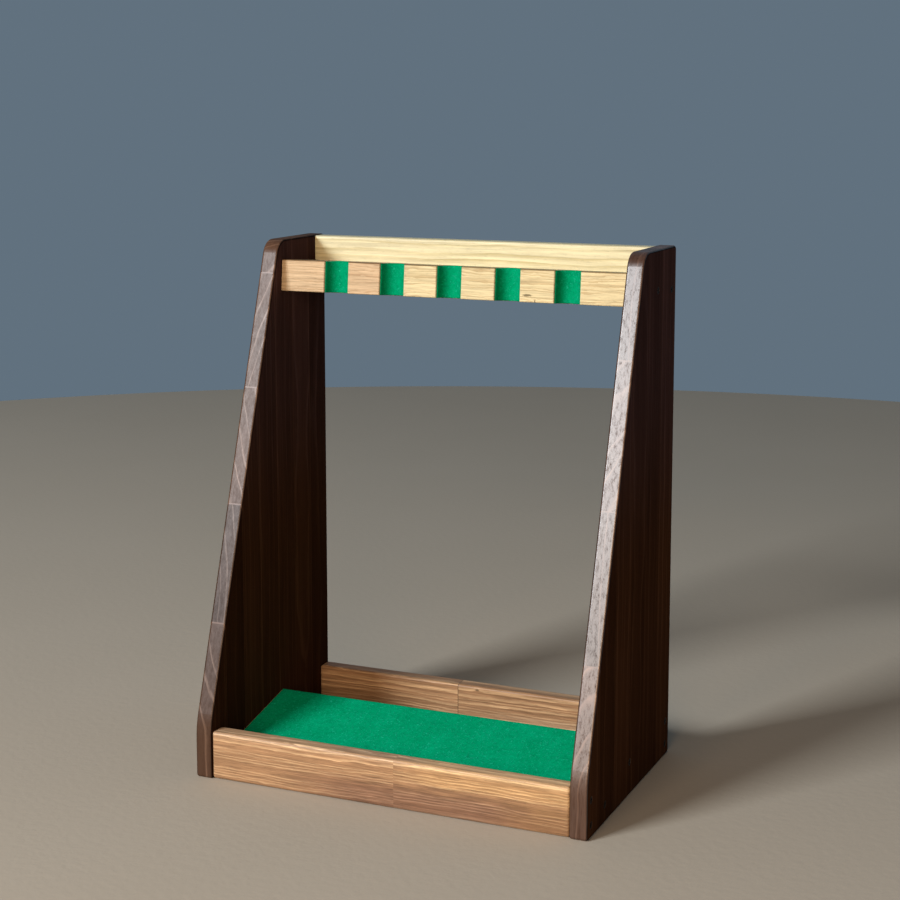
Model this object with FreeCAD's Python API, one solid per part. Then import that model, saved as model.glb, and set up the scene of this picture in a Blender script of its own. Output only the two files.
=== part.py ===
"""Free-standing floor rack for five cues.

Two side panels carry a front rail, a rear rail, a tilted base board covered with felt, a deep
notched cue rest and an upright board behind it. Every board is screwed through the side panels.

Frame: millimetres, +X to the right, +Y to the rear, +Z up. The origin is on the floor, in the
middle of the rack's width and depth.
"""
import FreeCAD, Part
import math
import os

from FreeCAD import Placement, Rotation, Vector

os.makedirs("parts", exist_ok=True)

# Whole rack
rack_width = 440.0
rack_depth = 273.0
rack_height = 562.0
stock = 19.0                    # thickness of the flat boards

# Side panel outline
front_upright = 56.0            # height of the vertical part of the front edge
top_length = 109.0              # length of the level top edge, corners included
slant_blend_radius = 90.0       # where the upright part runs into the slant
top_front_radius = 20.0
top_rear_radius = 5.0
foot_radius = 3.5
panel_round = 2.5               # rounding along both faces of the outline

# Front and rear rails at the floor
rail_height = 51.4
rail_lift = 0.6                 # clearance under a rail, so that the panels stand on the floor
front_rail_setback = 2.0        # front face of the rail behind the panels' front edge
rear_rail_setback = 3.4         # rear face of the rail ahead of the panels' rear edge
rail_round = 3.0

# Base board, which rises to the rear
base_tilt = 12.0
base_run = 140.0                # size along the slope
base_rear = 158.5               # top rear edge of the felt, from the front edge of the panels
base_rear_height = 52.5
base_round = 2.0
felt_thickness = 1.5
felt_margin = 1.0               # bare wood left around the felt

# Cue rest, which falls to the rear
rest_tilt = 5.0
rest_thickness = 34.5
rest_front = 167.4              # lower front edge, from the front edge of the panels
rest_front_height = 505.7
rest_round = 1.5
notch_count = 5
notch_pitch = 67.0
notch_width = 28.5
notch_depth = 16.0
notch_felt_short = 0.1          # felt stops this far inside the upper and lower faces

# Upright board behind the cue rest
back_rail_height = 63.0
back_rail_drop = 1.0            # its top below the panels' top
back_rail_setback = 4.8         # its rear face ahead of the panels' rear edge
back_rail_round = 2.5

# Countersunk wood screws
screw_length = 45.0
screw_radius = 2.0
screw_head_radius = 4.0
screw_rim = 0.4                 # straight edge of the head
screw_cone = 2.2                # height of the head's cone
screw_tip = 5.0
screw_sink = 0.3                # head below the surface of the wood
recess_length = 4.4
recess_width = 1.0
recess_depth = 1.8

# Derived places, in the rack's frame
half_width = rack_width / 2
panel_inner = half_width - stock
span = 2 * panel_inner
front_y = -rack_depth / 2
rear_y = rack_depth / 2
front_rail_y = front_y + front_rail_setback
rear_rail_y = rear_y - rear_rail_setback - stock
back_rail_y = rear_y - back_rail_setback - stock
back_rail_z = rack_height - back_rail_drop - back_rail_height
notch_radius = notch_width / 2
notch_straight = notch_depth - notch_radius


def edges_along_x(shape, y, z):
    """The edges parallel to X that pass through the point (y, z)."""
    found = []
    for edge in shape.Edges:
        ends = [vertex.Point for vertex in edge.Vertexes]
        if len(ends) == 2 and all(math.hypot(p.y - y, p.z - z) < 0.01 for p in ends):
            found.append(edge)
    return found


def edges_on_plane_x(shape, x):
    """The edges that lie wholly on the plane at this x."""
    box_of = [(edge, edge.BoundBox) for edge in shape.Edges]
    return [edge for edge, box in box_of if abs(box.XMin - x) < 0.01 and abs(box.XMax - x) < 0.01]


def long_edges(shape, length):
    """The straight edges of this length."""
    return [edge for edge in shape.Edges if abs(edge.Length - length) < 0.01]


def screw_blank(length):
    """A countersunk screw without its recess: head at the origin, point towards -Z."""
    outline = [
        Vector(0, 0, 0),
        Vector(screw_head_radius, 0, 0),
        Vector(screw_head_radius, 0, -screw_rim),
        Vector(screw_radius, 0, -screw_rim - screw_cone),
        Vector(screw_radius, 0, -length + screw_tip),
        Vector(0, 0, -length),
        Vector(0, 0, 0),
    ]
    face = Part.Face(Part.makePolygon(outline))
    return face.revolve(Vector(0, 0, 0), Vector(0, 0, 1), 360)


def screw(length):
    """A countersunk screw with a cross recess in its head."""
    half_length = recess_length / 2
    half_width_of_slot = recess_width / 2
    slot = Part.makeBox(recess_length, recess_width, recess_depth,
                        Vector(-half_length, -half_width_of_slot, -recess_depth))
    cross_slot = slot.copy()
    cross_slot.rotate(Vector(0, 0, 0), Vector(0, 0, 1), 90)
    return screw_blank(length).cut(slot.fuse(cross_slot))


def screw_space(length):
    """The wood that a screw takes away: its own body and the open countersink above its head."""
    mouth = Part.makeCylinder(screw_head_radius, 2 * screw_sink)
    return screw_blank(length).fuse(mouth)


def placed(shape, head, inward):
    """A copy of a screw shape with its head at this point and its shank along inward."""
    copy = shape.copy()
    copy.Placement = Placement(head, Rotation(Vector(0, 0, -1), inward))
    return copy


def side_screw_spots(points):
    """Head positions and directions for screws through both side panels at (y, z) points."""
    spots = []
    for side in (-1, 1):
        head_x = side * (half_width - screw_sink)
        for y, z in points:
            spots.append((Vector(head_x, y, z), Vector(-side, 0, 0)))
    return spots


def back_screw_spots(heights):
    """Head positions and directions for screws through the top back rail from behind."""
    head_y = back_rail_y + stock - screw_sink
    return [(Vector(x, head_y, z), Vector(0, -1, 0)) for x, z in heights]


def rail_screw_points(rail_y):
    """Two screws, one above the other, into the end of a floor rail."""
    quarter = rail_height / 4
    middle = rail_lift + rail_height / 2
    return [(rail_y + stock / 2, middle - quarter), (rail_y + stock / 2, middle + quarter)]


def base_point(forward, down):
    """A (y, z) point measured along the base board's slope from the rear top edge of its felt."""
    slope = math.radians(base_tilt)
    y = front_y + base_rear - forward * math.cos(slope) + down * math.sin(slope)
    z = base_rear_height - forward * math.sin(slope) - down * math.cos(slope)
    return y, z


def rest_point(back, up):
    """A (y, z) point measured in the cue rest's own plane from its lower front edge."""
    slope = math.radians(rest_tilt)
    y = front_y + rest_front + back * math.cos(slope) + up * math.sin(slope)
    z = rest_front_height - back * math.sin(slope) + up * math.cos(slope)
    return y, z


# Depth of the cue rest along its middle, up to the upright board
rest_depth = (back_rail_y - rest_point(0, rest_thickness / 2)[0]) / math.cos(math.radians(rest_tilt))

# Screw positions
base_middle = felt_thickness + stock / 2
front_rail_spots = side_screw_spots(rail_screw_points(front_rail_y))
rear_rail_spots = side_screw_spots(rail_screw_points(rear_rail_y))
base_points = [base_point(base_run * share, base_middle) for share in (0.78, 0.2)]
base_spots = side_screw_spots(base_points)
rest_spots = side_screw_spots([rest_point(rest_depth / 2, rest_thickness / 2)])
back_rail_spots = side_screw_spots([(back_rail_y + stock / 2, back_rail_z + 18)])
rest_rear_height = rest_point(rest_depth, rest_thickness / 2)[1]
rest_back_points = [(x, rest_rear_height) for x in (-2 * notch_pitch, 0, 2 * notch_pitch)]
rest_back_spots = back_screw_spots(rest_back_points)
lower_spots = front_rail_spots + rear_rail_spots + base_spots
all_spots = lower_spots + rest_spots + back_rail_spots + rest_back_spots


def drilled(shape):
    """The board with the space of every screw that meets it taken out."""
    box = shape.BoundBox
    for head, inward in all_spots:
        space = placed(screw_space(screw_length), head, inward)
        if box.intersect(space.BoundBox):
            shape = shape.cut(space)
    return shape


def screws(spots):
    """A group of separate screws."""
    return Part.makeCompound([placed(screw(screw_length), head, inward) for head, inward in spots])


def side_panel(side):
    """One side panel, left for side -1 and right for side 1."""
    slant_top_y = rear_y - top_length
    outline = [
        (front_y, 0, foot_radius),
        (front_y, front_upright, slant_blend_radius),
        (slant_top_y, rack_height, top_front_radius),
        (rear_y, rack_height, top_rear_radius),
        (rear_y, 0, foot_radius),
    ]
    corners = [Vector(panel_inner, y, z) for y, z, radius in outline]
    face = Part.Face(Part.makePolygon(corners + corners[:1]))
    panel = face.extrude(Vector(stock, 0, 0))
    for y, z, radius in outline:
        panel = panel.makeFillet(radius, edges_along_x(panel, y, z))
    for x in (panel_inner, half_width):
        panel = panel.makeFillet(panel_round, edges_on_plane_x(panel, x))
    if side < 0:
        panel = panel.mirror(Vector(0, 0, 0), Vector(1, 0, 0))
    return drilled(panel)


def rounded_board(depth, height, corner, radius):
    """A board that spans the panels, with every edge rounded."""
    board = Part.makeBox(span, depth, height, corner)
    return board.makeFillet(radius, board.Edges)


def floor_rail(rail_y):
    """A front or rear rail at the floor."""
    corner = Vector(-panel_inner, rail_y, rail_lift)
    return drilled(rounded_board(stock, rail_height, corner, rail_round))


def top_back_rail():
    """The upright board behind the cue rest."""
    corner = Vector(-panel_inner, back_rail_y, back_rail_z)
    board = Part.makeBox(span, stock, back_rail_height, corner)
    return drilled(board.makeFillet(back_rail_round, long_edges(board, span)))


def on_base(shape):
    """A level shape, with its rear top edge on the X axis, moved onto the base board's slope."""
    y, z = base_point(0, 0)
    shape.Placement = Placement(Vector(0, y, z), Rotation(Vector(1, 0, 0), base_tilt))
    return shape


def base_board():
    """The board under the felt."""
    top = -felt_thickness
    board = Part.makeBox(span, base_run, stock, Vector(-panel_inner, -base_run, top - stock))
    lower_edges = [edge for edge in long_edges(board, span) if edge.BoundBox.ZMax < top - stock / 2]
    return drilled(on_base(board.makeFillet(base_round, lower_edges)))


def base_felt():
    """The felt glued on the base board."""
    width = span - 2 * felt_margin
    length = base_run - 2 * felt_margin
    corner = Vector(-width / 2, -felt_margin - length, -felt_thickness)
    return on_base(Part.makeBox(width, length, felt_thickness, corner))


def notch_centres():
    """The X positions of the notches, from left to right."""
    middle = (notch_count - 1) / 2
    return [(number - middle) * notch_pitch for number in range(notch_count)]


def notch_space(centre_x, spare):
    """The U-shaped prism that a notch takes out, longer by spare at its front, top and foot."""
    height = rest_thickness + 2 * spare
    corner = Vector(centre_x - notch_radius, -spare, -spare)
    sides = Part.makeBox(notch_width, notch_straight + spare, height, corner)
    end = Part.makeCylinder(notch_radius, height, Vector(centre_x, notch_straight, -spare))
    return sides.fuse(end).removeSplitter()


def on_rest(shape):
    """A level shape, with the lower front edge on the X axis, moved onto the cue rest's slope."""
    y, z = rest_point(0, 0)
    shape.Placement = Placement(Vector(0, y, z), Rotation(Vector(1, 0, 0), -rest_tilt))
    return shape


def front_face_edges(shape):
    """The edges of the notched board that lie on its front face, without the two at its ends."""
    small = 0.01
    front = [edge for edge in shape.Edges if max(abs(edge.BoundBox.YMin), abs(edge.BoundBox.YMax)) < small]
    return [edge for edge in front if panel_inner - abs(edge.BoundBox.Center.x) > small]


def cue_rest():
    """The deep board with a felt-lined notch for each cue; its rear edge is cut plumb."""
    spare = 12.0
    board = Part.makeBox(span, rest_depth + spare, rest_thickness, Vector(-panel_inner, 0, 0))
    for centre_x in notch_centres():
        board = board.cut(notch_space(centre_x, spare))
    board = on_rest(board.makeFillet(rest_round, front_face_edges(board)))
    behind = Part.makeBox(span, 4 * spare, 4 * rest_thickness,
                          Vector(-panel_inner, back_rail_y, back_rail_z - rest_thickness))
    return drilled(board.cut(behind))


def notch_felt(centre_x):
    """The felt that lines the round end of one notch."""
    height = rest_thickness - 2 * notch_felt_short
    foot = Vector(centre_x, notch_straight, notch_felt_short)
    upward = Vector(0, 0, 1)
    outer = Part.makeCylinder(notch_radius, height, foot, upward, 180)
    inner = Part.makeCylinder(notch_radius - felt_thickness, height, foot, upward, 180)
    return on_rest(outer.cut(inner))


def save(name, shape):
    """Write one sub-part and print its size as a check."""
    shape.exportStep(f"parts/{name}.step")
    box = shape.BoundBox
    print(f"{name:22s} solids {len(shape.Solids)} valid {shape.isValid()} volume {shape.Volume:10.0f}"
          f" x {box.XMin:.1f}..{box.XMax:.1f} y {box.YMin:.1f}..{box.YMax:.1f}"
          f" z {box.ZMin:.1f}..{box.ZMax:.1f}")


save("left_side_panel", side_panel(-1))
save("right_side_panel", side_panel(1))
save("front_rail", floor_rail(front_rail_y))
save("rear_rail", floor_rail(rear_rail_y))
save("base_board", base_board())
save("base_felt", base_felt())
save("cue_rest", cue_rest())
for number, centre_x in enumerate(notch_centres(), start=1):
    save(f"notch_felt_{number}", notch_felt(centre_x))
save("top_back_rail", top_back_rail())
save("front_rail_screws", screws(front_rail_spots))
save("rear_rail_screws", screws(rear_rail_spots))
save("base_board_screws", screws(base_spots))
save("cue_rest_screws", screws(rest_spots))
save("top_back_rail_screws", screws(back_rail_spots))
save("cue_rest_back_screws", screws(rest_back_spots))
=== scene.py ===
"""Looks of a free-standing floor rack for five cues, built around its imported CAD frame.

Metres, in the frame's own axes: +X to the right, +Y to the rear, +Z up. The wood and the screws are
the CAD parts with new materials. The felts are modelled here and stand for the plain CAD ones.
"""
import math

import bmesh
import bpy
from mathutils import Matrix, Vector, noise


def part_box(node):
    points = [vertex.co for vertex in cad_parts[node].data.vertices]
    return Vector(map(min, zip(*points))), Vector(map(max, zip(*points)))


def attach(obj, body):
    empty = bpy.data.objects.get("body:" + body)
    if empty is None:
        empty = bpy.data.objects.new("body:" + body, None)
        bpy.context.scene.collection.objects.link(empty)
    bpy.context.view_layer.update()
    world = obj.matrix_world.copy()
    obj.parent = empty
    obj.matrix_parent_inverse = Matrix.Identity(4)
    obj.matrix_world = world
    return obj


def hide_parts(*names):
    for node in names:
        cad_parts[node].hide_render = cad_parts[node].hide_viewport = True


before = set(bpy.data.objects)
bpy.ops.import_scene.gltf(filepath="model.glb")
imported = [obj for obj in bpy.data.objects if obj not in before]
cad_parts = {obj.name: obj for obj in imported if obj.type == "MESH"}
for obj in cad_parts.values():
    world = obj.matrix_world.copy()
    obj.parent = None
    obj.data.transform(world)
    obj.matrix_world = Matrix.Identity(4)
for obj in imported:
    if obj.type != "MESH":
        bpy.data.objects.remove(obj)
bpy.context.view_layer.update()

MM = 0.001
TO_MM = (1000.0,) * 3                   # object coordinates are metres, the shaders count in millimetres
BODY = "root"

# Angles and sizes that the frame's boxes don't give
BASE_TILT = math.radians(12.0)          # base board and its felt, rear up
REST_TILT = math.radians(5.0)           # cue rest and notches, rear down
FELT_THICKNESS = 1.5 * MM
FELT_EDGE = 0.9 * MM                    # width of the soft rounding along a cut edge
FELT_LOW = 0.09 * MM                    # mean height of the face below its full thickness
NOTCH_FELT_END = 3.0 * MM               # length over which a strip thins out at a notch's mouth
BASE_FELT_CELL = 2.5 * MM
NOTCH_FELT_CELL = 1.0 * MM
NOTCH_FELT_PROUD = 0.9 * MM             # at the back of a notch the felt stands above the board
EDGE_ROWS = (0.0, 0.08, 0.3, 0.65, 1.0)  # shares of a rounded edge where a sheet has rows of points
SWELLS = ((17.0, 0.07), (2.3, 0.035))   # size and height of the face's unevenness, in millimetres
FRAY = (1.1, 0.10)                      # the same for the line of a cut edge
NOTCH_FELTS = [name for name in sorted(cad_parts) if name.startswith("notch_felt_")]


# ---------------------------------------------------------------- shader helper

class Shader:
    """Adds linked shader nodes to one new material."""

    def __init__(self, name):
        self.material = bpy.data.materials.new(name)
        self.material.use_nodes = True
        self.tree = self.material.node_tree
        self.tree.nodes.clear()

    def feed(self, socket, value):
        """Link an output to this input, or set its constant value."""
        if isinstance(value, bpy.types.NodeSocket):
            self.tree.links.new(value, socket)
        else:
            socket.default_value = value

    def add(self, kind, inputs=None, **settings):
        node = self.tree.nodes.new("ShaderNode" + kind)
        for key, value in settings.items():
            setattr(node, key, value)
        for key, value in (inputs or {}).items():
            self.feed(node.inputs[key], value)
        return node

    def math(self, operation, a, b=0.0, c=0.0):
        return self.add("Math", {0: a, 1: b, 2: c}, operation=operation).outputs[0]

    def vector(self, operation, a, b=(0.0, 0.0, 0.0)):
        node = self.add("VectorMath", {0: a, 1: b}, operation=operation)
        return node.outputs["Value" if operation in ("LENGTH", "DISTANCE", "DOT_PRODUCT") else "Vector"]

    def split(self, vector):
        return self.add("SeparateXYZ", {0: vector}).outputs[:3]

    def join(self, x, y, z):
        return self.add("CombineXYZ", {0: x, 1: y, 2: z}).outputs[0]

    def noise(self, place, size, detail=2.0, roughness=0.5):
        """Smooth noise around 0.5 that changes over size, three lengths, in the units of place."""
        scaled = self.vector("DIVIDE", place, size)
        settings = {"Vector": scaled, "Scale": 1.0, "Detail": detail, "Roughness": roughness}
        return self.add("TexNoise", settings).outputs[0]

    def noise_line(self, value, detail=1.0):
        """Smooth noise around 0.5 along one number."""
        settings = {"W": value, "Scale": 1.0, "Detail": detail}
        return self.add("TexNoise", settings, noise_dimensions="1D").outputs[0]

    def random(self, value):
        """Three random numbers from 0 to 1 that stay the same for one value."""
        node = self.add("TexWhiteNoise", {"W": value}, noise_dimensions="1D")
        return self.split(node.outputs["Color"])

    def span(self, value, low, high, to_low=0.0, to_high=1.0):
        """value from low to high, taken smoothly to to_low and to_high."""
        inputs = {0: value, 1: low, 2: high, 3: to_low, 4: to_high}
        return self.add("MapRange", inputs, interpolation_type="SMOOTHSTEP").outputs[0]

    def sway(self, value, noise, reach):
        """value, moved by reach times the distance of noise from its middle, 0.5."""
        return self.math("MULTIPLY_ADD", self.math("SUBTRACT", noise, 0.5), reach, value)

    def mix(self, share, a, b):
        return self.add("Mix", {0: share, 6: a, 7: b}, data_type="RGBA").outputs[2]

    def scale_colour(self, colour, factor):
        """colour times one number."""
        node = self.add("VectorMath", {0: colour, "Scale": factor}, operation="SCALE")
        return node.outputs["Vector"]

    def bump(self, height, distance, strength=1.0):
        return self.add("Bump", {"Height": height, "Distance": distance, "Strength": strength}).outputs[0]

    def finish(self, colour, roughness, normal, **others):
        """The surface, from its colour, roughness and normal and any other inputs."""
        inputs = {"Base Color": colour, "Roughness": roughness, "Normal": normal}
        inputs.update({key.replace("_", " "): value for key, value in others.items()})
        surface = self.add("BsdfPrincipled", inputs)
        output = self.add("OutputMaterial")
        self.tree.links.new(surface.outputs[0], output.inputs[0])
        return self.material


def rgba(red, green, blue):
    return (red, green, blue, 1.0)


# ---------------------------------------------------------------- wood

LINE_FULL = 0.92                        # shares of a ring where its dark line is full,
LINE_ENDS = 0.93                        # and where it starts to end
JOINT_SHIFT = 900.0                     # the most that two staves' grain lies apart, in millimetres
BUTT_SHIFT = (7.0, -3.5, 500.0)         # the grain right of a butt joint comes from elsewhere in the log


def growth_lines(s, radius, ring_width, late_from, seed):
    """From 0 in the soft early wood to 1 in the hard line that closes each growth ring."""
    rings = s.math("DIVIDE", radius, ring_width)
    uneven = s.noise_line(s.math("ADD", s.math("MULTIPLY", rings, 0.45), seed))
    rings = s.math("MULTIPLY_ADD", uneven, 2.2, rings)
    phase = s.math("FRACT", rings)
    rise = s.span(phase, late_from, LINE_FULL)
    fall = s.span(phase, LINE_ENDS, 1.0, 1.0, 0.0)
    return s.math("MULTIPLY", s.math("POWER", rise, 1.4), fall)


def stave_grain(s, place, pith, seed, staves):
    """Upright staves glued edge to edge, each from a log of its own.

    staves is (middle X, Y of one joint, stave width, darkest tone, lightest tone). Gives the place
    across and along the grain, the heart of the log, the tone of the stave and the mask of the glue
    lines.
    """
    x, y, z = s.split(place)
    middle, joint, width, darkest, lightest = staves
    steps = s.math("DIVIDE", s.math("SUBTRACT", y, joint), width)
    number = s.math("FLOOR", steps)
    turn, shade, shift = s.random(s.math("ADD", number, seed))
    within = s.math("SUBTRACT", s.math("SUBTRACT", steps, number), 0.5)
    angle = s.math("MULTIPLY", turn, math.tau)
    heart = (s.math("MULTIPLY", s.math("COSINE", angle), pith),
             s.math("MULTIPLY", s.math("SINE", angle), pith))
    grained = s.join(s.math("SUBTRACT", x, middle), s.math("MULTIPLY", within, width),
                     s.math("MULTIPLY_ADD", shift, JOINT_SHIFT, z))
    tone = s.span(shade, 0.0, 1.0, darkest, lightest)
    to_joint = s.math("MULTIPLY", s.math("SUBTRACT", 0.5, s.math("ABSOLUTE", within)), width)
    return grained, heart, tone, s.span(to_joint, 0.12, 0.36, 1.0, 0.0)


def butt_grain(s, place, pith, butt):
    """Two lengths of board that meet end to end.

    butt is (X of the joint, tone on its left, tone on its right, darkness of the joint). Gives the
    same four things as stave_grain.
    """
    x, y, z = s.split(place)
    joint, left_tone, right_tone, darkness = butt
    is_right = s.math("GREATER_THAN", x, joint)
    moved = [s.math("MULTIPLY_ADD", is_right, shift, axis) for shift, axis in zip(BUTT_SHIFT, (y, z, x))]
    grained = s.join(*moved)
    tone = s.span(is_right, 0.0, 1.0, left_tone, right_tone)
    to_joint = s.math("ABSOLUTE", s.math("SUBTRACT", x, joint))
    return grained, pith, tone, s.span(to_joint, 0.2, 0.7, darkness, 0.0)


def knot_masks(s, place, knots):
    """How much the rings bend, in millimetres, and where the dark cores are.

    Each knot is (X, Z, half length, half height).
    """
    x, _, z = s.split(place)
    bend = 0.0
    cores = 0.0
    for knot_x, knot_z, half_length, half_height in knots:
        across = s.math("DIVIDE", s.math("SUBTRACT", x, knot_x), half_length)
        upward = s.math("DIVIDE", s.math("SUBTRACT", z, knot_z), half_height)
        ragged = s.math("MULTIPLY_ADD", s.noise(place, (1.6, 1.6, 0.5)), 0.9, -0.45)
        away = s.math("ADD", s.vector("LENGTH", s.join(across, upward, 0.0)), ragged)
        near = s.span(away, 0.0, 3.5, 1.0, 0.0)
        bend = s.math("MULTIPLY_ADD", near, half_height * 1.2, bend)
        cores = s.math("MAXIMUM", cores, s.span(away, 0.5, 1.0, 1.0, 0.0))
    return bend, cores


def sawn_edge_masks(s):
    """Where the narrow edges of a side panel are, and where the roundings beside its faces are, which get
    painted shade.
    """
    normal_x = s.split(s.add("TexCoord").outputs["Normal"])[0]
    sideways = s.math("ABSOLUTE", normal_x)
    edge = s.span(sideways, 0.78, 0.96, 1.0, 0.0)
    rounding = s.math("MULTIPLY", s.span(sideways, 0.45, 0.8), s.span(sideways, 0.96, 0.998, 1.0, 0.0))
    return edge, rounding


PAINTED_SHEEN_HEIGHTS = (220.0, 460.0)         # millimetres, from where the painted sheen on a panel's faces starts to where it is full
# Painted sheen: this tint makes a panel's upper faces greyer and bluer, standing for the surroundings
# reflected in the finish.
PAINTED_SHEEN_TINT = (1.12, 1.42, 2.9)
ROUNDING_PAINTED_SHADE = 0.2                     # painted shade: a panel's roundings beside its faces are darkened to this
KNOT_TONE = 0.16                        # knots and butt joints, beside the late wood
KNOT_CORE = 0.75                        # the most that a knot's core covers
GLUE_LINE = 0.55                        # the most that a glue line covers
DUCT_SHADE = -0.22                      # the resin ducts' share of the shade
DARKEST_SHADE = 0.05
EDGE_SHEEN = 0.66                       # a panel's edge gloss, before its streaks
WOOD_BUMP = 0.12 * MM


def wood(name, pith, ring_width, early, late, seed, late_from=0.3, wander=5.0, wave=1.5,
         contrast=1.0, streak=(2.6, 90.0), bands=0.16, clouds=0.4, shine=0.2, roughness=0.45,
         lacquer=0.3, staves=None, butt=None, knots=(), stains_and_highlights=(), edge_gloss=None, edge_tint=None,
         edge_streaks=1.0):
    """Pine, sawn from a log whose heart runs along the grain.

    The fibres of staves run along Z, those of any other board along X. pith is where the heart lies,
    (Y, Z) in millimetres. For staves it is the distance from each stave to its heart. late_from is the
    share of a ring where its dark part starts. Each entry of stains_and_highlights is (X where full,
    X where gone, Z where full, Z where gone, tint), a part of the board with another colour; the cream
    band along the front rail's top edge is a painted highlight. Only a panel has edge_gloss: its
    narrow edges have their own gloss, tint and strength of streaks, the roundings beside its faces
    get painted shade, and its faces get a painted sheen towards the top, greyer and bluer.
    """
    s = Shader(name)
    place = s.vector("MULTIPLY", s.add("TexCoord").outputs["Object"], TO_MM)
    x, y, z = s.split(place)
    if staves:
        grained, heart, tone, seam = stave_grain(s, place, pith, seed, staves)
    elif butt:
        grained, heart, tone, seam = butt_grain(s, place, pith, butt)
    else:
        grained, heart, tone, seam = s.join(y, z, x), pith, 1.0, None
    first, second, _ = s.split(grained)

    long_bends = s.noise(grained, (90.0, 90.0, 260.0))
    moved = s.vector("ADD", grained, (300.0, 0.0, seed * 50.0))
    short_bends = s.noise(moved, (45.0, 45.0, 130.0))
    off_first = s.math("SUBTRACT", s.sway(first, long_bends, wander * 2.0), heart[0])
    off_second = s.math("SUBTRACT", s.sway(second, short_bends, wander * 2.0), heart[1])
    radius = s.vector("LENGTH", s.join(off_first, off_second, 0.0))
    knot_bend, knot_cores = knot_masks(s, place, knots)
    radius = s.math("ADD", radius, knot_bend)
    wavy = s.noise(grained, (5.0, 5.0, 22.0), detail=2.0)
    radius = s.sway(radius, wavy, wave)

    lines = growth_lines(s, radius, ring_width, late_from, seed)
    patchy = s.span(s.noise(grained, (14.0, 14.0, 160.0)), 0.25, 0.7, 0.35, 1.0)
    lines = s.math("MULTIPLY", lines, s.math("MULTIPLY", patchy, contrast))
    if edge_gloss is not None:
        on_edge, rounding_shade_mask = sawn_edge_masks(s)
        lines = s.math("MULTIPLY", lines, s.span(on_edge, 0.0, 1.0, 0.45, 1.0))
    coarse = s.noise(grained, (streak[0], streak[0], streak[1]), detail=3.0)
    fine = s.noise(grained, (0.7, 0.7, 18.0), detail=3.0, roughness=0.6)
    broad = s.noise(grained, (26.0, 26.0, 240.0), detail=1.0)
    ducts = s.span(s.noise(grained, (0.55, 0.55, 7.0), detail=1.0), 0.66, 0.74)

    colour = s.mix(lines, early, late)
    shade = s.sway(1.0, coarse, bands * 5.0)
    shade = s.sway(shade, fine, bands * 3.2)
    shade = s.sway(shade, broad, clouds)
    shade = s.math("MULTIPLY_ADD", ducts, DUCT_SHADE, shade)
    shade = s.math("MAXIMUM", s.math("MULTIPLY", shade, tone), DARKEST_SHADE)
    colour = s.scale_colour(colour, shade)
    for full_x, gone_x, full_z, gone_z, tint in stains_and_highlights:
        ragged_x = s.sway(x, wavy, abs(gone_x - full_x) * 0.5)
        ragged_z = s.sway(z, wavy, abs(gone_z - full_z) * 0.8)
        share_x = s.span(ragged_x, full_x, gone_x, 1.0, 0.0)
        share_z = s.span(ragged_z, full_z, gone_z, 1.0, 0.0)
        share = s.math("MULTIPLY", share_x, share_z)
        colour = s.mix(share, colour, s.vector("MULTIPLY", colour, tint))
    if edge_gloss is not None:
        # Painted sheen: the faces turn greyer and bluer towards the top.
        painted_sheen_share = s.span(z, *PAINTED_SHEEN_HEIGHTS)
        face = s.mix(painted_sheen_share, colour, s.vector("MULTIPLY", colour, PAINTED_SHEEN_TINT))
        colour = s.mix(on_edge, face, s.vector("MULTIPLY", colour, edge_tint))
        # Painted shade: the roundings beside the faces are darkened.
        colour = s.scale_colour(colour, s.span(rounding_shade_mask, 0.0, 1.0, 1.0, ROUNDING_PAINTED_SHADE))
    dark = rgba(*(value * KNOT_TONE for value in late[:3]))
    if staves:
        colour = s.mix(s.math("MULTIPLY", seam, GLUE_LINE), colour, late)
    if butt:
        colour = s.mix(seam, colour, dark)
    if knots:
        colour = s.mix(s.math("MULTIPLY", knot_cores, KNOT_CORE), colour, dark)

    height = s.math("MULTIPLY_ADD", lines, 0.5, s.math("MULTIPLY_ADD", fine, 0.6, coarse))
    height = s.math("MULTIPLY_ADD", ducts, -0.5, height)
    rough = s.sway(roughness, fine, 0.22)
    rough = s.math("MULTIPLY_ADD", lines, -0.05, rough)
    coat = dict(Coat_Weight=lacquer, Coat_Roughness=0.38, Coat_IOR=1.5)
    if edge_gloss is not None:
        streaks = s.sway(s.sway(EDGE_SHEEN, coarse, edge_streaks), fine, edge_streaks)
        streaks = s.math("MULTIPLY_ADD", s.math("MAXIMUM", lines, seam), 0.5, streaks)
        gloss = s.math("MULTIPLY", s.math("MULTIPLY", on_edge, streaks), edge_gloss)
        gloss = s.math("MINIMUM", s.math("MAXIMUM", gloss, 0.0), 1.0)
        coat = dict(Coat_Weight=gloss, Coat_Roughness=0.34, Coat_IOR=1.75)
    return s.finish(colour, rough, s.bump(height, WOOD_BUMP), Specular_IOR_Level=shine, **coat)


# ---------------------------------------------------------------- felt, steel and floor

FELT_DEEP = rgba(0.0, 0.325, 0.135)
FELT_BRIGHT = rgba(0.001, 0.365, 0.175)
FELT_FIBRE = rgba(0.025, 0.66, 0.41)
FELT_BUMP = 0.4 * MM
NOTCH_FELT_PAINTED_SHADE = 0.76                  # painted shade: the felt in the notches is made darker than that on the base board, for the shade inside the notches
STEEL_BLACK = rgba(0.005, 0.0045, 0.004)
STEEL_RUBBED = rgba(0.018, 0.017, 0.016)
STEEL_BUMP = 0.06 * MM
FLOOR_DARK = rgba(0.44, 0.385, 0.31)
FLOOR_LIGHT = rgba(0.47, 0.415, 0.34)
FLOOR_BUMP = 0.3 * MM


def curled_fibres(s, place, size, width):
    """1 along thin curled lines, about size apart."""
    drift = s.noise(place, (size,) * 3, detail=1.0)
    line = s.span(s.math("ABSOLUTE", s.math("SUBTRACT", drift, 0.5)), 0.0, width, 1.0, 0.0)
    broken = s.span(s.noise(place, (size * 0.7,) * 3, detail=1.0, roughness=0.8), 0.48, 0.62)
    return s.math("MULTIPLY", line, broken)


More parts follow.
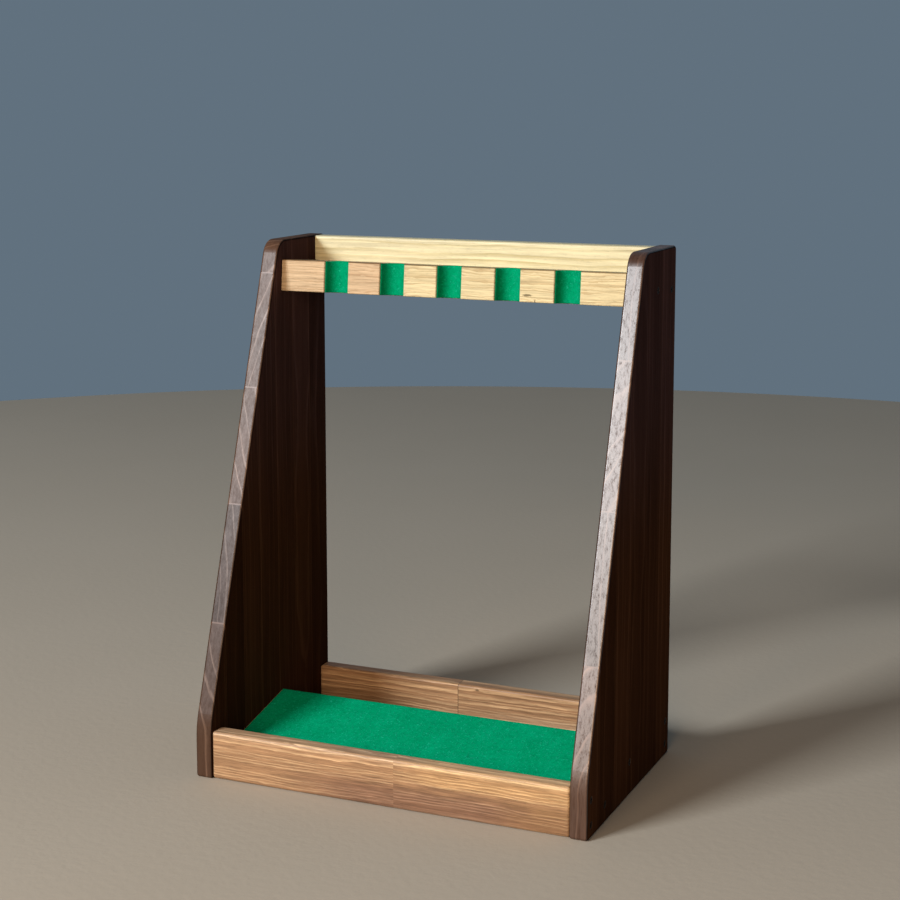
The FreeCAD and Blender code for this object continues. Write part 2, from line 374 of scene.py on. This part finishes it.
def felt_material(name, seed, tone=1.0):
    """Pressed wool: curled fibres in every direction over a close, matt ground; tone darkens all of it,
    as painted shade for the felts in the notches.
    """
    s = Shader(name)
    place = s.vector("MULTIPLY", s.add("TexCoord").outputs["Object"], TO_MM)
    place = s.vector("ADD", place, (seed * 37.0, seed * 11.0, seed * 5.0))
    other = s.vector("ADD", place, (140.0, 60.0, 90.0))
    fibres = s.math("MAXIMUM", curled_fibres(s, place, 5.0, 0.035), curled_fibres(s, other, 3.2, 0.045))
    nap = s.noise(place, (1.1,) * 3, detail=4.0, roughness=0.7)
    mottle = s.noise(other, (4.2,) * 3, detail=2.0)
    cloud = s.noise(place, (30.0,) * 3, detail=2.0)
    shade = 1.0
    for pattern, reach in ((nap, 0.65), (mottle, 0.55), (cloud, 0.3)):
        shade = s.sway(shade, pattern, reach)
    colour = s.scale_colour(s.mix(cloud, FELT_DEEP, FELT_BRIGHT), shade)
    colour = s.mix(s.math("MULTIPLY", fibres, 0.6), colour, FELT_FIBRE)
    # Painted shade: a tone below 1 darkens the felts in the notches.
    colour = s.scale_colour(colour, tone)
    height = s.math("MULTIPLY_ADD", fibres, 0.8, nap)
    rough = s.math("MULTIPLY_ADD", nap, 0.1, 0.88)
    return s.finish(colour, rough, s.bump(height, FELT_BUMP), Specular_IOR_Level=0.0)


def screw_material():
    """Black-oxide steel with rubbed high spots."""
    s = Shader("black_screw_steel")
    place = s.vector("MULTIPLY", s.add("TexCoord").outputs["Object"], TO_MM)
    grit = s.noise(place, (0.5,) * 3, detail=3.0)
    rubbed = s.span(s.noise(place, (1.8,) * 3, detail=4.0), 0.52, 0.7)
    colour = s.mix(rubbed, STEEL_BLACK, STEEL_RUBBED)
    rough = s.math("MULTIPLY_ADD", grit, 0.25, 0.4)
    return s.finish(colour, rough, s.bump(grit, STEEL_BUMP), Metallic=0.6, Specular_IOR_Level=0.15)


def floor_material():
    """Plain pale floor with the faintest mottle."""
    s = Shader("pale_floor")
    place = s.add("TexCoord").outputs["Object"]
    mottle = s.noise(place, (0.4,) * 3, detail=3.0)
    colour = s.mix(mottle, FLOOR_DARK, FLOOR_LIGHT)
    grain = s.noise(place, (0.01,) * 3, detail=2.0)
    return s.finish(colour, 0.8, s.bump(grain, FLOOR_BUMP), Specular_IOR_Level=0.15)


# ---------------------------------------------------------------- felt shapes

def stations(length, edge, cell):
    """Places from 0 to length: close together near both ends, then about a cell apart."""
    near_ends = [edge * share for share in EDGE_ROWS]
    inner = length - 2 * edge
    count = max(2, round(inner / cell))
    middle = [edge + inner * step / count for step in range(1, count)]
    return near_ends + middle + [length - value for value in reversed(near_ends)]


def felt_sheet(name, length, width, place, cell, seed, end=FELT_EDGE):
    """A closed sheet of felt with soft cut edges and a slightly uneven face.

    place(along, across, up) gives the point of the frame for a point of the flat sheet, with up
    measured from the wood. end is the length over which both ends thin out.
    """
    rows = stations(length, end, cell)
    columns = stations(width, FELT_EDGE, cell)
    fray_size, fray_reach = FRAY
    points = []
    for level in (1, 0):
        for along in rows:
            for across in columns:
                to_end = min(along, length - along) / end
                to_side = min(across, width - across) / FELT_EDGE
                inward = min(to_end, to_side, 1.0)
                rise = math.sqrt(1.0 - (1.0 - inward) ** 2)
                where = Vector((along / MM, across / MM, seed * 17.0))
                swell = sum(noise.noise(where / size) * height for size, height in SWELLS)
                fray = noise.noise(where / fray_size) * fray_reach * (1.0 - inward)
                up = level * rise * (FELT_THICKNESS - FELT_LOW + swell * MM)
                points.append(place(along + fray * MM, across + fray * MM, up))
    across_count = len(columns)
    level_count = len(rows) * across_count
    faces = []
    for row in range(len(rows) - 1):
        for column in range(across_count - 1):
            a = row * across_count + column
            quad = (a, a + 1, a + 1 + across_count, a + across_count)
            faces.append(quad)
            faces.append(tuple(index + level_count for index in reversed(quad)))
    mesh = bpy.data.meshes.new(name)
    mesh.from_pydata(points, [], faces)
    mesh.validate()
    piece = bpy.data.objects.new(name, mesh)
    bpy.context.scene.collection.objects.link(piece)
    weld = piece.modifiers.new("weld", "WELD")
    weld.merge_threshold = 0.002 * MM
    bpy.context.view_layer.objects.active = piece
    with bpy.context.temp_override(object=piece):
        bpy.ops.object.modifier_apply(modifier="weld")
    piece.data.polygons.foreach_set("use_smooth", [True] * len(piece.data.polygons))
    return piece


def outward(piece):
    """Turn the faces of a closed piece outwards."""
    mesh = bmesh.new()
    mesh.from_mesh(piece.data)
    bmesh.ops.recalc_face_normals(mesh, faces=mesh.faces)
    mesh.to_mesh(piece.data)
    mesh.free()
    return piece


def base_felt():
    """The felt on the base board."""
    low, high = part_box("base_felt")
    slope = Vector((0.0, -math.cos(BASE_TILT), -math.sin(BASE_TILT)))
    up_from_board = Vector((0.0, -math.sin(BASE_TILT), math.cos(BASE_TILT)))
    length = (high.y - low.y - FELT_THICKNESS * math.sin(BASE_TILT)) / math.cos(BASE_TILT)
    rear_foot = Vector((low.x, high.y, high.z - FELT_THICKNESS * math.cos(BASE_TILT)))

    def place(along, across, up):
        return rear_foot + slope * along + Vector((across, 0.0, 0.0)) + up_from_board * up

    piece = felt_sheet("base_felt_cloth", length, high.x - low.x, place, BASE_FELT_CELL, seed=1)
    outward(piece)
    piece.data.materials.append(felt_material("green_base_felt", seed=1))
    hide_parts("base_felt")
    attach(piece, BODY)


def notch_felt(node, seed):
    """The strip of felt bent round the inside of one notch, from one side of its mouth to the other."""
    low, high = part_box(node)
    radius = (high.x - low.x) / 2
    middle_radius = radius - FELT_THICKNESS / 2
    length = math.pi * middle_radius
    height = (high.z - low.z - radius * math.sin(REST_TILT)) / math.cos(REST_TILT)
    rearward = Vector((0.0, math.cos(REST_TILT), -math.sin(REST_TILT)))
    upward = Vector((0.0, math.sin(REST_TILT), math.cos(REST_TILT)))
    centre_foot = Vector(((low.x + high.x) / 2, low.y, high.z - height * math.cos(REST_TILT)))

    def place(along, across, up):
        turn = along / middle_radius
        side = Vector((-math.cos(turn), 0.0, 0.0))
        raised = across * (1.0 + NOTCH_FELT_PROUD / height * math.sin(turn) ** 2)
        return centre_foot + (side + rearward * math.sin(turn)) * (radius - up) + upward * raised

    piece = felt_sheet(f"{node}_cloth", length, height, place, NOTCH_FELT_CELL, seed, NOTCH_FELT_END)
    outward(piece)
    piece.data.materials.append(felt_material(f"green_{node}", seed, NOTCH_FELT_PAINTED_SHADE))
    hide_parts(node)
    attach(piece, BODY)


# ---------------------------------------------------------------- finishes of the CAD parts

def finish_part(node, material):
    """Give every material slot of a CAD part this material."""
    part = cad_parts[node]
    if not part.material_slots:
        part.data.materials.append(material)
    for slot in part.material_slots:
        slot.material = material


DARK_EARLY = rgba(0.062, 0.0245, 0.0110)
DARK_LATE = rgba(0.150, 0.066, 0.032)
LEFT_EDGE_TINT = (1.5, 1.95, 2.6)       # the stain lies thinner on the panels' sawn edges
RIGHT_EDGE_TINT = (1.15, 1.35, 1.75)
BROWN_EARLY = rgba(0.33, 0.187, 0.097)
BROWN_LATE = rgba(0.68, 0.45, 0.25)
PALE_EARLY = rgba(0.69, 0.63, 0.405)
PALE_LATE = rgba(0.45, 0.375, 0.184)
PEACH_EARLY = rgba(0.655, 0.555, 0.335)
PEACH_LATE = rgba(0.375, 0.255, 0.122)
PINK_TINT = (0.85, 0.74, 0.78)
PURPLE_TINT = (0.60, 0.56, 0.64)
# Lighter cream: on the front rail a painted highlight along the top edge, on the rear rail a lighter band
# low on its right piece.
CREAM_BAND_AND_HIGHLIGHT_TINT = (1.25, 1.36, 1.50)
GOLDEN_TINT = (1.36, 1.38, 1.25)
AMBER_TINT = (1.20, 1.22, 1.02)
TOP_EDGE_DARKER_TINT = (0.40, 0.33, 0.26)       # darker along the top front edge of the cue rest
EVERYWHERE = (1000.0, 2000.0)


def finish_wood():
    """Give every board its own wood."""
    left_middle = sum(corner.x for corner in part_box("left_side_panel")) / 2 / MM
    right_middle = sum(corner.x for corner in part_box("right_side_panel")) / 2 / MM
    dark = dict(pith=75.0, ring_width=11.0, late_from=0.72, early=DARK_EARLY, late=DARK_LATE,
                wander=7.0, wave=1.0, contrast=0.8, bands=0.12, clouds=1.0, shine=0.0, roughness=0.5)
    finish_part("left_side_panel", wood("walnut_stained_left", seed=3.0, edge_gloss=0.32,
                                        edge_tint=LEFT_EDGE_TINT, edge_streaks=0.75,
                                        staves=(left_middle, 16.0, 39.5, 0.55, 1.0), **dark))
    finish_part("right_side_panel", wood("walnut_stained_right", seed=20.0, edge_gloss=1.4,
                                         edge_tint=RIGHT_EDGE_TINT, edge_streaks=1.5,
                                         staves=(right_middle, -6.9, 47.1, 0.8, 1.3), **dark))
    brown = dict(early=BROWN_EARLY, late=BROWN_LATE, contrast=0.75, bands=0.28,
                 streak=(1.4, 42.0), wave=3.0, lacquer=0.15)
    finish_part("front_rail", wood("brown_stained_front_rail", pith=(-150.0, 120.0), ring_width=5.0,
                                   seed=5.0, butt=(11.0, 1.0, 1.0, 0.03),
                                   stains_and_highlights=[(-20.0, -150.0, 16.0, 34.0, PURPLE_TINT),
                                           (70.0, 0.0, 36.0, 27.0, GOLDEN_TINT),
                                           (175.0, 105.0, 20.0, 32.0, AMBER_TINT),
                                           # painted highlight: the cream band along the front rail's top
                                           # edge
                                           (*EVERYWHERE, 49.5, 43.5, CREAM_BAND_AND_HIGHLIGHT_TINT)], **brown))
    finish_part("rear_rail", wood("brown_stained_rear_rail", pith=(100.0, 130.0), ring_width=5.0,
                                  seed=8.0, butt=(-23.5, 0.97, 0.91, 0.8),
                                  # a lighter cream band low on the rear rail's right piece
                                  stains_and_highlights=[(90.0, -20.0, 21.0, 27.0, CREAM_BAND_AND_HIGHLIGHT_TINT)],
                                  knots=[(0.0, 48.0, 3.0, 1.6)], **brown))
    finish_part("base_board", wood("brown_stained_base_board", pith=(-40.0, -60.0), ring_width=7.0,
                                   seed=11.0, **brown))
    finish_part("top_back_rail", wood("clear_pine_back_rail", pith=(180.0, 480.0),
                                      ring_width=6.5, early=PALE_EARLY, late=PALE_LATE, seed=14.0,
                                      contrast=0.9, bands=0.17, clouds=0.1))
    finish_part("cue_rest", wood("clear_pine_cue_rest", pith=(40.0, 600.0), ring_width=4.2,
                                 early=PEACH_EARLY, late=PEACH_LATE, seed=17.0, contrast=0.62,
                                 bands=0.18, streak=(1.5, 35.0), wave=7.0, clouds=0.3,
                                 shine=0.0, lacquer=0.0, roughness=0.7,
                                 stains_and_highlights=[(-75.0, -40.0, *EVERYWHERE, PINK_TINT),
                                         (*EVERYWHERE, 539.5, 538.5, TOP_EDGE_DARKER_TINT)],
                                 knots=[(90.0, 513.0, 6.5, 1.5), (98.7, 507.0, 0.9, 1.9)]))


def finish_screws():
    """Give all screws one steel."""
    material = screw_material()
    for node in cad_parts:
        if node.endswith("_screws"):
            finish_part(node, material)


# ---------------------------------------------------------------- stage

def make_floor():
    """A round pale floor under the rack."""
    radius = 2.6
    sides = 128
    mesh = bpy.data.meshes.new("floor")
    rim = [(radius * math.cos(math.tau * i / sides), radius * math.sin(math.tau * i / sides), 0.0)
           for i in range(sides)]
    mesh.from_pydata(rim, [], [tuple(range(sides))])
    floor = bpy.data.objects.new("floor", mesh)
    bpy.context.scene.collection.objects.link(floor)
    floor.data.materials.append(floor_material())


WORLD_FRONT = rgba(0.04, 0.04, 0.04)
WORLD_REAR = rgba(0.12, 0.165, 0.21)
RACK_MIDDLE = (0.0, 0.0, 0.28)          # where both lamps point


def make_world():
    """Faint light from all round, brighter and bluer from behind the rack."""
    world = bpy.data.worlds.new("studio")
    world.use_nodes = True
    tree = world.node_tree
    direction = tree.nodes.new("ShaderNodeSeparateXYZ")
    towards_rear = tree.nodes.new("ShaderNodeMapRange")
    towards_rear.inputs["From Min"].default_value = -0.5
    towards_rear.inputs["From Max"].default_value = 0.5
    blend = tree.nodes.new("ShaderNodeMix")
    blend.data_type = "RGBA"
    blend.inputs[6].default_value = WORLD_FRONT
    blend.inputs[7].default_value = WORLD_REAR
    tree.links.new(tree.nodes.new("ShaderNodeTexCoord").outputs["Generated"], direction.inputs[0])
    tree.links.new(direction.outputs["Y"], towards_rear.inputs["Value"])
    tree.links.new(towards_rear.outputs[0], blend.inputs[0])
    tree.links.new(blend.outputs[2], tree.nodes["Background"].inputs["Color"])
    bpy.context.scene.world = world


def make_lamp(name, place, target, width, height, power, colour):
    """A flat soft lamp that faces its target."""
    data = bpy.data.lights.new(name, "AREA")
    data.shape = "RECTANGLE"
    data.size = width
    data.size_y = height
    data.energy = power
    data.color = colour
    lamp = bpy.data.objects.new(name, data)
    lamp.location = place
    lamp.rotation_mode = "QUATERNION"
    lamp.rotation_quaternion = (Vector(target) - Vector(place)).to_track_quat("-Z", "Y")
    bpy.context.scene.collection.objects.link(lamp)


def make_camera():
    """The camera, fitted to the straight edges in the photo."""
    data = bpy.data.cameras.new("camera")
    data.sensor_width = 36.0
    data.lens = 73.42
    data.shift_y = -0.1111
    data.clip_start = 0.05
    data.clip_end = 50.0
    camera = bpy.data.objects.new("camera", data)
    camera.location = (0.7730, -1.7519, 0.7219)
    camera.rotation_euler = (math.radians(82.045), 0.0, math.radians(23.375))
    bpy.context.scene.collection.objects.link(camera)
    bpy.context.scene.camera = camera


make_camera()
make_world()
make_floor()
make_lamp("key", place=(-2.68, -4.74, 2.86), target=RACK_MIDDLE, width=1.75, height=1.75,
          power=385.0, colour=(0.90, 0.955, 1.0))
make_lamp("fill", place=(0.35, -2.9, 1.15), target=RACK_MIDDLE, width=1.6, height=1.2,
          power=54.0, colour=(1.0, 0.72, 0.48))
bpy.context.scene.view_settings.view_transform = "Standard"

finish_wood()
finish_screws()
base_felt()
for felt_seed, felt_node in enumerate(NOTCH_FELTS, start=2):
    notch_felt(felt_node, felt_seed)
